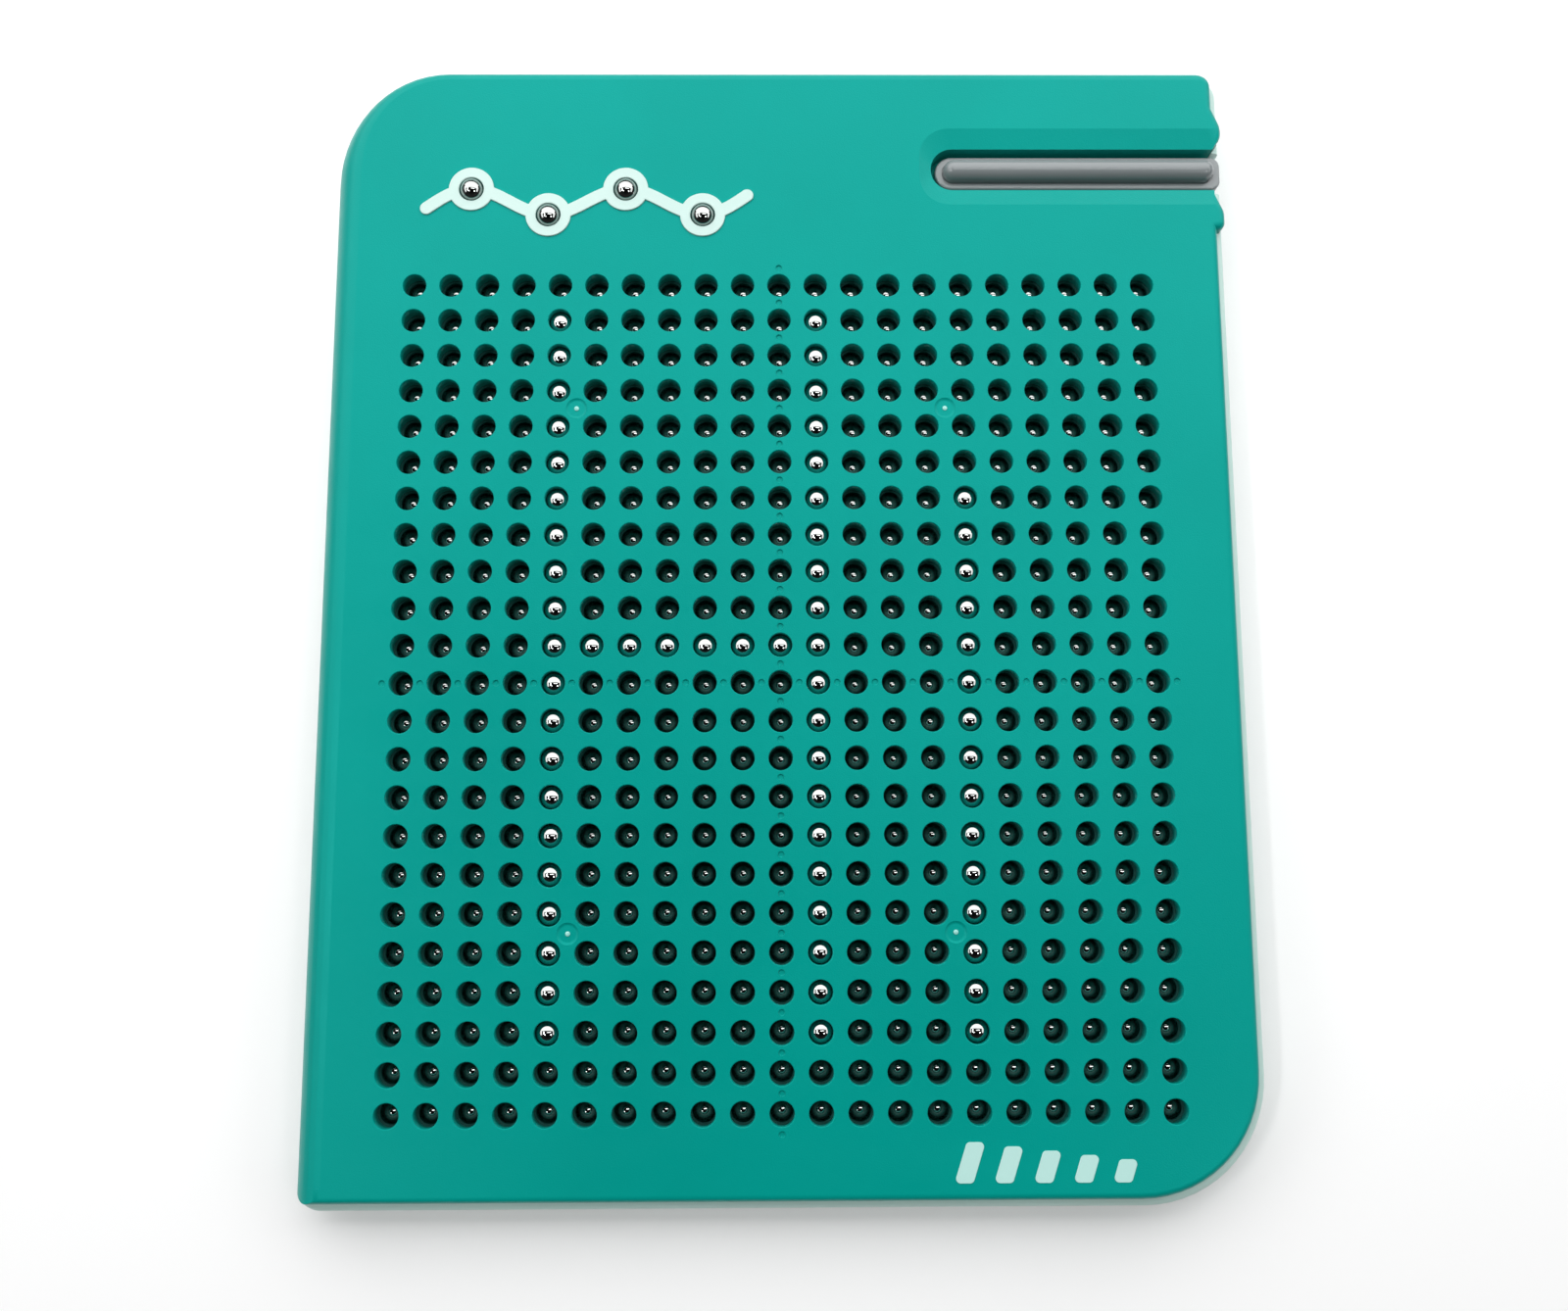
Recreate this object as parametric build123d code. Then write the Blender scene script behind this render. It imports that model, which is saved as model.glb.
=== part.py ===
from build123d import *
import os

# Bead drawing board: a flat hand-held case with 21 x 23 holes. A captive steel ball sits behind each
# hole, and a magnetic stylus pulls balls up to the face, where they show as a dot drawing.
# The board lies on its back. X runs to the right, Y towards the stylus edge, Z out of the face.
# The origin is at the middle of the back, on the surface it rests on. Millimetres.

# ---- case
WIDTH = 238.0
LENGTH = 295.0
THICK = 15.0
CORNER_LARGE = 30.0  # top left and bottom right
CORNER_SMALL = 4.0  # top right and bottom left
LEDGE = 2.25  # how far the back cover stands out past the face on the right and the bottom
LEDGE_Z = 11.6
PARTING_Z = 7.5  # the covers meet here on the left and the top
FACE_ROUND = 1.8
LEDGE_ROUND = 1.5
BACK_ROUND = 2.2
SKIN = 2.4
SIDE_WALL = 2.0
BACK_FLOOR = 2.0
COVER_GAP = 0.15
SPINE_OVERLAP = 0.25  # the left side is nearly a full half round

LEFT, RIGHT = -WIDTH / 2, WIDTH / 2
BOTTOM, TOP = -LENGTH / 2, LENGTH / 2
FACE_RIGHT, FACE_BOTTOM = RIGHT - LEDGE, BOTTOM + LEDGE
SKIN_Z = THICK - SKIN
# corner radii: top left, top right, bottom right, bottom left
FACE_CORNERS = (CORNER_LARGE, CORNER_SMALL, CORNER_LARGE, CORNER_SMALL)
CASE_CORNERS = (CORNER_LARGE, CORNER_SMALL + 1.5, CORNER_LARGE + 1, CORNER_SMALL + 2.5)
FAR = 300.0  # cutters reach past the case by up to this much

# ---- grid of balls
PITCH = 9.6
COLUMNS, ROWS = 21, 23
GRID_X, GRID_Y = -0.4, -19.0  # the middle hole
HOLE_R = 3.05
HOLE_RELIEF = 0.4  # chamfer under each hole
BALL_R = 3.175
RAISED_Z = 11.6  # ball centre when it shows
TRAVEL = 5.0
BORE_R = 3.5
GRIP_R = 2.95  # the retainer's holes are smaller than a ball
LINER_Z, LOWER_Z, GRIP_Z, UPPER_Z = BACK_FLOOR, 3.0, 8.6, 9.6
STACK_MARGIN = 0.72 * PITCH

# ---- dimples on the face
DOT_R, DOT_DEPTH = 0.8, 0.3
GATE_R, GATE_NUB_R, GATE_DEPTH = 2.75, 0.7, 0.3
GATE_COLUMNS, GATE_ROWS = (-5.5, 4.5), (7.5, -6.5)  # in pitches from the middle hole

# ---- stylus and its bay
STYLUS_Y = 119.7
BASE_LEFT, BASE_RIGHT = 41.8, 119.0
BASE_WIDTH, BASE_THICK = 9.2, 3.0
BASE_TOP_Z = 11.8
LIP_THICK, LIP_BOTTOM_Z = 2.3, 6.6
CAP_LEFT, CAP_RIGHT = 43.9, 116.9
CAP_WIDTH, CAP_HEIGHT = 5.6, 3.9
CAP_WALL = 1.0
BASE_CORNER, BASE_ROUND = 2.6, 0.5
MAGNET_R, MAGNET_LENGTH = 1.9, 14.0
MAGNET_GAP, MAGNET_RISE = 0.1, 0.6
BAY_LEFT, BAY_WIDTH, BAY_CORNER = 40.5, 11.6, 5.7
BEVEL_LEFT, BEVEL_WIDTH, BEVEL_CORNER, BEVEL_DEPTH = 37.3, 21.6, 8.0, 1.3
BEVEL_SHIFT = 0.3  # the bevel is a little wider on the far side
BAY_FLOOR_Z, BAY_UNDER_Z, BAY_WALL = 8.5, 6.2, 1.8
MOUTH_X = 115.7

# ---- lobes of the face beside the mouth of the bay
UPPER_LOBE_START, UPPER_LOBE_PEAK, UPPER_LOBE_TURN = 140.0, 131.8, 128.8
LOWER_LOBE_TURN, LOWER_LOBE_END = 107.6, 102.5
MOUTH_HALF = 3.3
LOBE_ROOT = 25.0  # the lobes run back into the face by this much

# ---- screws, driven from the back
SCREW_PLACES = [(x, y) for x in (-108, 108) for y in (-112, -19, 84)] + [(-70, 138), (60, 138)]
SCREW_R, SCREW_HEAD_R, SCREW_HEAD, SCREW_LENGTH = 1.25, 2.7, 1.6, 9.0
PILOT_R, PILOT_DEPTH, COUNTERBORE_R, SEAT_Z = 1.3, 8.0, 3.0, 2.4
BOSS_R, BACK_BOSS_R, BOSS_SPLIT_Z = 3.4, 4.2, 4.0
SLOT_LENGTH, SLOT_WIDTH, SLOT_DEPTH = 3.4, 0.7, 0.7
SHANK_CLEARANCE = 0.25

# ---- raised ornament with four fixed balls, and a printed mark
BADGE_X, BADGE_Y, BADGE_STEP, BADGE_WAVE = -82.1, 109.8, 20.5, 3.6
BADGE_END = 11.8  # from the outer rings to the tips of the ribbon
RIBBON_WIDTH, RIBBON_HEIGHT = 3.4, 0.45
RING_R, RING_HOLE_R = 6.0, 3.55
SOCKET_R, SOCKET_FLOOR_Z, SOCKET_BOSS_R = 3.25, 11.0, 4.8
SOCKET_FLOOR = 1.6
MARK_X, MARK_Y, MARK_STEP, MARK_BARS = 43.4, -141.0, 9.6, 5
MARK_LEAN, MARK_WIDTH, MARK_TALL, MARK_HEIGHT = 3.2, 4.6, 9.6, 0.15
MARK_SHRINK, MARK_CORNER = 0.11, 1.1  # each bar is this much of the first one shorter

# ---- label recess on the back
LABEL_WIDTH, LABEL_LENGTH, LABEL_CORNER, LABEL_DEPTH = 76.0, 34.0, 5.0, 0.5
LABEL_Y = -90.0


def block(sketch, low, high):
    """A straight solid on a flat outline, from one height to another."""
    return extrude(Pos(0, 0, low) * sketch, high - low)


def round_at(x, y, radius, low, high):
    """An upright cylinder."""
    return Pos(x, y, (low + high) / 2) * Cylinder(radius, high - low)


def cornered(left, bottom, right, top, radii):
    """A rectangle with its own radius at each corner, from the top left clockwise."""
    plain = Pos((left + right) / 2, (bottom + top) / 2) * Rectangle(right - left, top - bottom)
    for (x, y), radius in zip(((left, top), (right, top), (right, bottom), (left, bottom)), radii):
        corner = plain.vertices().sort_by_distance(Vector(x, y, 0))[0]
        plain = fillet(corner, radius)
    return plain


def shrunk(radii, inset):
    """Corner radii for an outline moved inwards."""
    return [max(radius - inset, 1.0) for radius in radii]


def case_outline():
    """The outline of the whole case."""
    return cornered(LEFT, BOTTOM, RIGHT, TOP, CASE_CORNERS)


def face_outline(inset=0.0):
    """The outline of the face without its lobes."""
    return cornered(
        LEFT + inset, FACE_BOTTOM + inset, FACE_RIGHT - inset, TOP - inset, shrunk(FACE_CORNERS, inset)
    )


def lobe_outlines(grow=0.0):
    """The outlines of the two lobes that stand out from the face beside the bay's mouth."""
    inner_x, mouth_x = RIGHT - LOBE_ROOT, MOUTH_X - 0.7
    upper = FilletPolyline(
        (inner_x, UPPER_LOBE_START),
        (FACE_RIGHT - 1.3, UPPER_LOBE_START),
        (RIGHT, UPPER_LOBE_PEAK),
        (RIGHT, UPPER_LOBE_TURN),
        (mouth_x, STYLUS_Y + MOUTH_HALF),
        (inner_x, STYLUS_Y + MOUTH_HALF),
        radius=[3.0, 3.0, 6.5, 4.5, 3.0, 3.0],
        close=True,
    )
    lower = FilletPolyline(
        (inner_x, STYLUS_Y - MOUTH_HALF),
        (mouth_x, STYLUS_Y - MOUTH_HALF),
        (RIGHT, LOWER_LOBE_TURN),
        (RIGHT, LOWER_LOBE_END),
        (inner_x, LOWER_LOBE_END),
        radius=[3.0, 3.0, 4.5, 2.2, 3.0],
        close=True,
    )
    outlines = [make_face(upper), make_face(lower)]
    return [offset(outline, grow) for outline in outlines] if grow else outlines


def spine_cutter(face_side):
    """A long bar that rounds off the left side, from the face or from the back."""
    middle_z = THICK / 2 - SPINE_OVERLAP if face_side else THICK / 2 + SPINE_OVERLAP
    radius = THICK / 2 + 1.4 * SPINE_OVERLAP
    middle_x = LEFT + radius - 0.4 * SPINE_OVERLAP
    reach = 20 if face_side else -20
    profile = Pos(middle_x - 10, middle_z + reach / 2) * Rectangle(20, abs(reach))
    profile -= Pos(middle_x, middle_z) * Circle(radius)
    return extrude(Plane.XZ * profile, LENGTH / 2 + 10, both=True)


def bay_outline(left, width, corner, middle):
    """A bay's outline: round on the left, running out past the right edge of the case."""
    return cornered(left, middle - width / 2, RIGHT + 12, middle + width / 2, (corner, 0.5, 0.5, corner))


def mouth_cutter(low, high):
    """The open end of the bay, through the right edge."""
    return block(Pos(MOUTH_X + 10, STYLUS_Y) * Rectangle(20, BAY_WIDTH), low, high)


def grid_places(columns=range(1, COLUMNS + 1), rows=range(1, ROWS + 1)):
    """The places of the holes, in columns from the left and rows from the top, both from 1."""
    middle_column, middle_row = (COLUMNS + 1) / 2, (ROWS + 1) / 2
    return [
        (GRID_X + (column - middle_column) * PITCH, GRID_Y + (middle_row - row) * PITCH)
        for column in columns
        for row in rows
    ]


def perforated(outline_width, outline_length, radius, low, high):
    """A plate behind the grid with a round hole for each ball."""
    rim = Pos(GRID_X, GRID_Y) * Rectangle(outline_width, outline_length)
    holes = [Wire.make_circle(radius, Plane((x, y, 0))) for x, y in grid_places()]
    return block(Face(rim.face().outer_wire(), holes), low, high)


def badge_places():
    """The middles of the ornament's four rings, on a wave."""
    return [
        (BADGE_X + n * BADGE_STEP, BADGE_Y + (BADGE_WAVE if n % 2 == 0 else -BADGE_WAVE)) for n in range(4)
    ]


def level_edges_at(part, height):
    """The edges that lie flat at one height."""
    return part.edges().filter_by(lambda e: abs(e.bounding_box().min.Z - height) < 1e-4
                                  and abs(e.bounding_box().max.Z - height) < 1e-4)


def front_cover():
    """The coloured front shell: face, skirt, bay for the stylus, screw bosses and ball sockets."""
    cover = block(face_outline(), PARTING_Z, THICK)
    cover = fillet(level_edges_at(cover, THICK), FACE_ROUND)
    for outline in lobe_outlines():
        lobe = block(outline, PARTING_Z, THICK)
        cover += fillet(level_edges_at(lobe, THICK), FACE_ROUND)
    cover -= block(face_outline(SIDE_WALL), PARTING_Z - 1, SKIN_Z)
    cover -= spine_cutter(True)
    tub = bay_outline(BAY_LEFT - BAY_WALL, BAY_WIDTH + 2 * BAY_WALL, BAY_CORNER + BAY_WALL, STYLUS_Y)
    inner_right = FACE_RIGHT - SIDE_WALL - COVER_GAP
    for low, high, end in ((BAY_UNDER_Z, PARTING_Z, inner_right), (PARTING_Z, SKIN_Z, MOUTH_X)):
        kept = Pos(end - FAR / 2, STYLUS_Y) * Rectangle(FAR, FAR)
        cover += block(tub & kept, low, high)
    bosses = [round_at(x, y, BOSS_R, BOSS_SPLIT_Z, SKIN_Z) for x, y in SCREW_PLACES]
    bosses += [round_at(x, y, SOCKET_BOSS_R, SOCKET_FLOOR_Z - SOCKET_FLOOR, SKIN_Z) for x, y in badge_places()]
    cover += bosses
    cuts = [block(bay_outline(BAY_LEFT, BAY_WIDTH, BAY_CORNER, STYLUS_Y), BAY_FLOOR_Z, THICK + 5)]
    cuts.append(mouth_cutter(0, THICK + 5))
    wide = bay_outline(BEVEL_LEFT, BEVEL_WIDTH, BEVEL_CORNER, STYLUS_Y + BEVEL_SHIFT)
    narrow = bay_outline(BAY_LEFT, BAY_WIDTH, BAY_CORNER, STYLUS_Y)
    cuts.append(loft([Pos(0, 0, THICK - BEVEL_DEPTH) * narrow, Pos(0, 0, THICK) * wide], ruled=True))
    cuts += [round_at(x, y, PILOT_R, BOSS_SPLIT_Z - 1, BOSS_SPLIT_Z + PILOT_DEPTH) for x, y in SCREW_PLACES]
    cuts += [round_at(x, y, SOCKET_R, SOCKET_FLOOR_Z, THICK + 1) for x, y in badge_places()]
    cover -= cuts
    cover -= hole_cutters()
    cover -= dimple_cutters()
    return cover


def hole_cutters():
    """A cutter for each hole: a straight bore that opens out under the face."""
    bore = round_at(0, 0, HOLE_R, SKIN_Z - 1, THICK + 1)
    relief = Pos(0, 0, SKIN_Z + HOLE_RELIEF / 2) * Cone(HOLE_R + HOLE_RELIEF, HOLE_R, HOLE_RELIEF)
    cutter = bore + relief
    return [Pos(x, y, 0) * cutter for x, y in grid_places()]


def dimple_cutters():
    """Guide dots on the two middle lines, half way between the holes, and four moulding gate marks."""
    half_x, half_y = COLUMNS / 2, ROWS / 2
    dots = [(GRID_X, GRID_Y + (half_y - n) * PITCH) for n in range(ROWS + 1)]
    dots += [(GRID_X + (n - half_x) * PITCH, GRID_Y) for n in range(COLUMNS + 1)]
    cutters = [round_at(x, y, DOT_R, THICK - DOT_DEPTH, THICK + 1) for x, y in dots]
    for column in GATE_COLUMNS:
        for row in GATE_ROWS:
            x, y = GRID_X + column * PITCH, GRID_Y + row * PITCH
            dimple = round_at(x, y, GATE_R, THICK - GATE_DEPTH, THICK + 1)
            cutters.append(dimple - round_at(x, y, GATE_NUB_R, THICK - 1, THICK + 2))
    return cutters


def back_cover():
    """The pale back shell, which shows as a ledge along the right and the bottom."""
    cover = block(case_outline(), 0, LEDGE_Z)
    cover = fillet(level_edges_at(cover, LEDGE_Z), LEDGE_ROUND)
    cover = fillet(level_edges_at(cover, 0), BACK_ROUND)
    for outline in [face_outline(-COVER_GAP), *lobe_outlines(COVER_GAP)]:
        cover -= block(outline, PARTING_Z, THICK)
    cover -= block(face_outline(SIDE_WALL), BACK_FLOOR, THICK)
    cover -= spine_cutter(False)
    cover -= mouth_cutter(BAY_UNDER_Z, THICK)
    cover += [round_at(x, y, BACK_BOSS_R, BACK_FLOOR, BOSS_SPLIT_Z) for x, y in SCREW_PLACES]
    cuts = [round_at(x, y, COUNTERBORE_R, -1, SEAT_Z) for x, y in SCREW_PLACES]
    cuts += [round_at(x, y, SCREW_R + SHANK_CLEARANCE, 0, BOSS_SPLIT_Z + 1) for x, y in SCREW_PLACES]
    label = cornered(-LABEL_WIDTH / 2, LABEL_Y - LABEL_LENGTH / 2, LABEL_WIDTH / 2,
                     LABEL_Y + LABEL_LENGTH / 2, [LABEL_CORNER] * 4)
    cuts.append(block(label, -1, LABEL_DEPTH))
    cover -= cuts
    return cover


def cover_screws():
    """Self-tapping screws with a cross slot, one in each boss."""
    shank_top = SEAT_Z + SCREW_LENGTH
    head_low = SEAT_Z - SCREW_HEAD
    screw = round_at(0, 0, SCREW_R, SEAT_Z, shank_top) + round_at(0, 0, SCREW_HEAD_R, head_low, SEAT_Z)
    for turn in (0, 90):
        slot = Rot(0, 0, turn) * Box(SLOT_LENGTH, SLOT_WIDTH, 2 * SLOT_DEPTH)
        screw -= Pos(0, 0, head_low) * slot
    return [Pos(x, y, 0) * screw for x, y in SCREW_PLACES]


def stack_size():
    """Width and length of the plates behind the grid."""
    return (COLUMNS - 1) * PITCH + 2 * STACK_MARGIN, (ROWS - 1) * PITCH + 2 * STACK_MARGIN


def base_liner():
    """A thin sheet that the lowered balls land on."""
    width, length = stack_size()
    return block(Pos(GRID_X, GRID_Y) * Rectangle(width, length), LINER_Z, LOWER_Z)


def balls(places, height):
    """A ball at each place."""
    return [Pos(x, y, height) * Sphere(BALL_R) for x, y in places]


# The drawing that the board shows: strokes of raised balls, as columns and rows.
STROKES = {
    "beads_raised_left_upright": ([5], range(2, 22)),
    "beads_raised_crossbar": (range(6, 12), [11]),
    "beads_raised_right_upright": ([12], range(2, 22)),
    "beads_raised_short_upright": ([16], range(7, 22)),
}
RAISED = {(c, r) for columns, rows in STROKES.values() for c in columns for r in rows}


def bead_nodes():
    """The raised strokes, then the lowered balls of each column."""
    nodes = {name: balls(grid_places(*stroke), RAISED_Z) for name, stroke in STROKES.items()}
    for column in range(1, COLUMNS + 1):
        rows = [row for row in range(1, ROWS + 1) if (column, row) not in RAISED]
        nodes[f"beads_lowered_column_{column:02d}"] = balls(grid_places([column], rows), RAISED_Z - TRAVEL)
    return nodes


def badge_inlay():
    """A raised ribbon that waves through four rings, each with a fixed ball in it."""
    places = badge_places()
    left = (places[0][0] - BADGE_END, BADGE_Y - BADGE_WAVE / 2)
    right = (places[-1][0] + BADGE_END, BADGE_Y + BADGE_WAVE / 2)
    route = [left, *places, right]
    ribbon = Sketch()
    for start, end in zip(route, route[1:]):
        middle = ((start[0] + end[0]) / 2, (start[1] + end[1]) / 2)
        first = TangentArc(start, middle, tangent=(1, 0))
        second = TangentArc(middle, end, tangent=first % 1)
        ribbon += trace(first, RIBBON_WIDTH)
        ribbon += trace(second, RIBBON_WIDTH)
        ribbon += Pos(*middle) * Circle(RIBBON_WIDTH / 2)
    for x, y in (left, right):
        ribbon += Pos(x, y) * Circle(RIBBON_WIDTH / 2)
    for x, y in places:
        ribbon += Pos(x, y) * Circle(RING_R)
    for x, y in places:
        ribbon -= Pos(x, y) * Circle(RING_HOLE_R)
    return block(ribbon, THICK, THICK + RIBBON_HEIGHT)


def badge_beads():
    """The four fixed balls of the ornament, resting in their sockets."""
    return balls(badge_places(), SOCKET_FLOOR_Z + BALL_R)


def corner_mark():
    """A printed row of slanted bars that grow shorter to the right."""
    bars = []
    for n in range(MARK_BARS):
        share = 1 - MARK_SHRINK * n
        tall, lean, half = MARK_TALL * share, MARK_LEAN * share, MARK_WIDTH / 2
        points = [(-half, 0), (half, 0), (half + lean, tall), (-half + lean, tall)]
        bar = make_face(Polyline(*points, close=True))
        bar = fillet(bar.vertices(), MARK_CORNER)
        bars.append(block(Pos(MARK_X + n * MARK_STEP, MARK_Y) * bar, THICK, THICK + MARK_HEIGHT))
    return bars


def slot_outline(left, right, width):
    """A long outline with both ends round, along the stylus."""
    length = right - left
    return Pos((left + right) / 2, STYLUS_Y) * SlotOverall(length, width)


def magnet_bar(gap=0.0):
    """The bar magnet near the stylus's round end, or the room for it."""
    x = CAP_LEFT + CAP_WIDTH / 2 + MAGNET_LENGTH / 2
    bar = Rot(0, 90, 0) * Cylinder(MAGNET_R + gap, MAGNET_LENGTH + 2 * gap)
    return Pos(x, STYLUS_Y, BASE_TOP_Z + MAGNET_RISE) * bar


def stylus_base():
    """The stylus's flat base: round on the left, with a lip on the right that turns down past the edge."""
    half = BASE_WIDTH / 2
    end = half - 0.05
    radii = (end, BASE_CORNER, BASE_CORNER, end)
    plan = cornered(BASE_LEFT, STYLUS_Y - half, BASE_RIGHT, STYLUS_Y + half, radii)
    base = block(plan, BASE_TOP_Z - BASE_THICK, BASE_TOP_Z)
    lip = plan & (Pos(BASE_RIGHT, STYLUS_Y) * Rectangle(2 * LIP_THICK, 3 * half))
    base += block(lip, LIP_BOTTOM_Z, BASE_TOP_Z)
    base = fillet(level_edges_at(base, BASE_TOP_Z), BASE_ROUND)
    return base - magnet_bar(MAGNET_GAP)


def capsule(left, right, width, height, low):
    """A bar with round ends and a half-round top."""
    radius = width / 2
    crown_z = low + height - radius
    body = block(slot_outline(left, right, width), low, crown_z)
    crown = Pos((left + right) / 2, STYLUS_Y, crown_z) * Rot(0, 90, 0) * Cylinder(radius, right - left - width)
    body += crown
    for x in (left + radius, right - radius):
        body += Pos(x, STYLUS_Y, crown_z) * Sphere(radius)
    return body & block(Pos(0, STYLUS_Y) * Rectangle(FAR, FAR), low, low + height + 1)


def stylus_cap():
    """The stylus's grip: a hollow half-round bar on the base."""
    outer = capsule(CAP_LEFT, CAP_RIGHT, CAP_WIDTH, CAP_HEIGHT, BASE_TOP_Z)
    inner = capsule(CAP_LEFT + CAP_WALL, CAP_RIGHT - CAP_WALL, CAP_WIDTH - 2 * CAP_WALL,
                    CAP_HEIGHT - CAP_WALL, BASE_TOP_Z)
    return outer - inner - magnet_bar(MAGNET_GAP)


def stylus_magnet():
    """The bar magnet that pulls the balls up."""
    return magnet_bar()


def write(name, made):
    """One STEP file for a node, from one solid or a list of them."""
    pieces = made if isinstance(made, list) else [made]
    solids = [solid for piece in pieces for solid in piece.solids()]
    shape = solids[0] if len(solids) == 1 else Compound(children=solids)
    shape.label = name
    export_step(shape, f"parts/{name}.step")


def main():
    os.makedirs("parts", exist_ok=True)
    width, length = stack_size()
    write("front_cover", front_cover())
    write("back_cover", back_cover())
    write("cover_screws", cover_screws())
    write("guide_plate_upper", perforated(width, length, BORE_R, UPPER_Z, SKIN_Z))
    write("retainer_sheet", perforated(width, length, GRIP_R, GRIP_Z, UPPER_Z))
    write("guide_plate_lower", perforated(width, length, BORE_R, LOWER_Z, GRIP_Z))
    write("base_liner", base_liner())
    write("badge_inlay", badge_inlay())
    write("badge_beads", badge_beads())
    write("corner_mark", corner_mark())
    write("stylus_base", stylus_base())
    write("stylus_cap", stylus_cap())
    write("stylus_magnet", stylus_magnet())
    for name, made in bead_nodes().items():
        write(name, made)


main()
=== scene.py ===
from math import atan2, cos, hypot, pi, radians, sin

import bmesh
import bpy
from mathutils import Matrix, Vector


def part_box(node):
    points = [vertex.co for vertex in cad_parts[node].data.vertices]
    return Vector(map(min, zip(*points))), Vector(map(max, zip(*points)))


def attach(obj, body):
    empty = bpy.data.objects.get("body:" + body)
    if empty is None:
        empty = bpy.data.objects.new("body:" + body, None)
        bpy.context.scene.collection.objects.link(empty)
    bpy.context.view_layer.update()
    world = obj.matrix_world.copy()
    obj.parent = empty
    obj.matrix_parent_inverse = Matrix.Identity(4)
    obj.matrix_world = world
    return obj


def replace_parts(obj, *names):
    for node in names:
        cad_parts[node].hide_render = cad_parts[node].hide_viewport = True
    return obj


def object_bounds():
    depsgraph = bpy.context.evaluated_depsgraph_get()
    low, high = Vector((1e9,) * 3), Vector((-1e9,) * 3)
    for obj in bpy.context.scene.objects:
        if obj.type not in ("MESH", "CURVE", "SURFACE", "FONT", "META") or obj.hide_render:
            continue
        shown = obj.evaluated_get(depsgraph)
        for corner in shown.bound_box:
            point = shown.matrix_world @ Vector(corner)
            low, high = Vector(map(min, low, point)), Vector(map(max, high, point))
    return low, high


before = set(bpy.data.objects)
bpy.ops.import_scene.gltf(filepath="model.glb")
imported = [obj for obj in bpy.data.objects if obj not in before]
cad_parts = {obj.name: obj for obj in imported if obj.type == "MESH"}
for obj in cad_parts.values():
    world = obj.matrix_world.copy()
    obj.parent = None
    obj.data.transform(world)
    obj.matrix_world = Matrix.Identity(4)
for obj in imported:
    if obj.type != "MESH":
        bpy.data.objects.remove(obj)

cad_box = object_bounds()
MM = 0.001

# ---- driving dimensions in millimetres, in the part's own frame
RIGHT, TOP = cad_box[1].x / MM, cad_box[1].y / MM
LEFT, BOTTOM = cad_box[0].x / MM, cad_box[0].y / MM
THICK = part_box("front_cover")[1].z / MM
PARTING_Z = 7.5
LEDGE = 2.25
LEDGE_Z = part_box("back_cover")[1].z / MM
FACE_RIGHT, FACE_BOTTOM = RIGHT - LEDGE, BOTTOM + LEDGE
SKIN_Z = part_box("guide_plate_upper")[1].z / MM
SIDE_WALL, BACK_FLOOR, COVER_GAP = 2.0, 2.0, 0.15
CORNER_LARGE, CORNER_SMALL = 30.0, 4.0

PITCH = 9.6
COLUMNS, ROWS = 21, 23
GRID_X, GRID_Y = -0.4, -19.0
HOLE_R, HOLE_RELIEF, HOLE_RIM = 3.05, 0.4, 0.22
BALL_R = 3.175
RAISED_Z, LOWERED_Z = 11.6, 6.6
BORE_R, GRIP_R = 3.5, 2.95

STYLUS_Y = 119.7
BAY_LEFT, BAY_WIDTH, BAY_CORNER = 40.5, 11.6, 5.7
BEVEL_LEFT, BEVEL_WIDTH, BEVEL_CORNER, BEVEL_DEPTH, BEVEL_SHIFT = 37.3, 21.6, 8.0, 1.3, 0.3
BAY_FLOOR_Z, BAY_UNDER_Z, BAY_WALL, MOUTH_X = 8.5, 6.2, 1.8, 115.7
PAST_RIGHT, PAST_FACE = 12, 5

ROUND_SEGMENTS = 6
EDGE_SEGMENTS = 7
HOLE_SEGMENTS = 30
SMALL_SEGMENTS = 20


# ---------------------------------------------------------------- outlines

def rounded(corners, step=radians(6)):
    """A closed outline, counter-clockwise, as (x, y, normal x, normal y), from corners (x, y, radius)."""
    samples = []
    count = len(corners)
    for n, (x, y, radius) in enumerate(corners):
        here = Vector((x, y))
        before = (here - Vector(corners[n - 1][:2])).normalized()
        after = (Vector(corners[(n + 1) % count][:2]) - here).normalized()
        turn = atan2(before.x * after.y - before.y * after.x, before.dot(after))
        reach = radius * abs(sin(turn / 2) / cos(turn / 2))
        side = 1 if turn > 0 else -1
        normal = Vector((before.y, -before.x))
        centre = here - before * reach - normal * side * radius
        pieces = max(2, int(abs(turn) / step + 0.5))
        for k in range(pieces + 1):
            spun = normal.copy()
            spun.rotate(Matrix.Rotation(turn * k / pieces, 2))
            point = centre + spun * side * radius
            samples.append((point.x, point.y, spun.x, spun.y))
    return samples


def box_outline(left, bottom, right, top, radii):
    """A rectangle with radii for bottom left, bottom right, top right, top left."""
    return rounded(
        [(left, bottom, radii[0]), (right, bottom, radii[1]), (right, top, radii[2]), (left, top, radii[3])]
    )


def face_outline(grow=0.0):
    """The face's outline, moved outwards by grow."""
    large, small = CORNER_LARGE + grow, CORNER_SMALL + grow
    radii = (max(small, 1), large, max(small, 1), large)
    return box_outline(LEFT - grow, FACE_BOTTOM - grow, FACE_RIGHT + grow, TOP + grow, radii)


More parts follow.
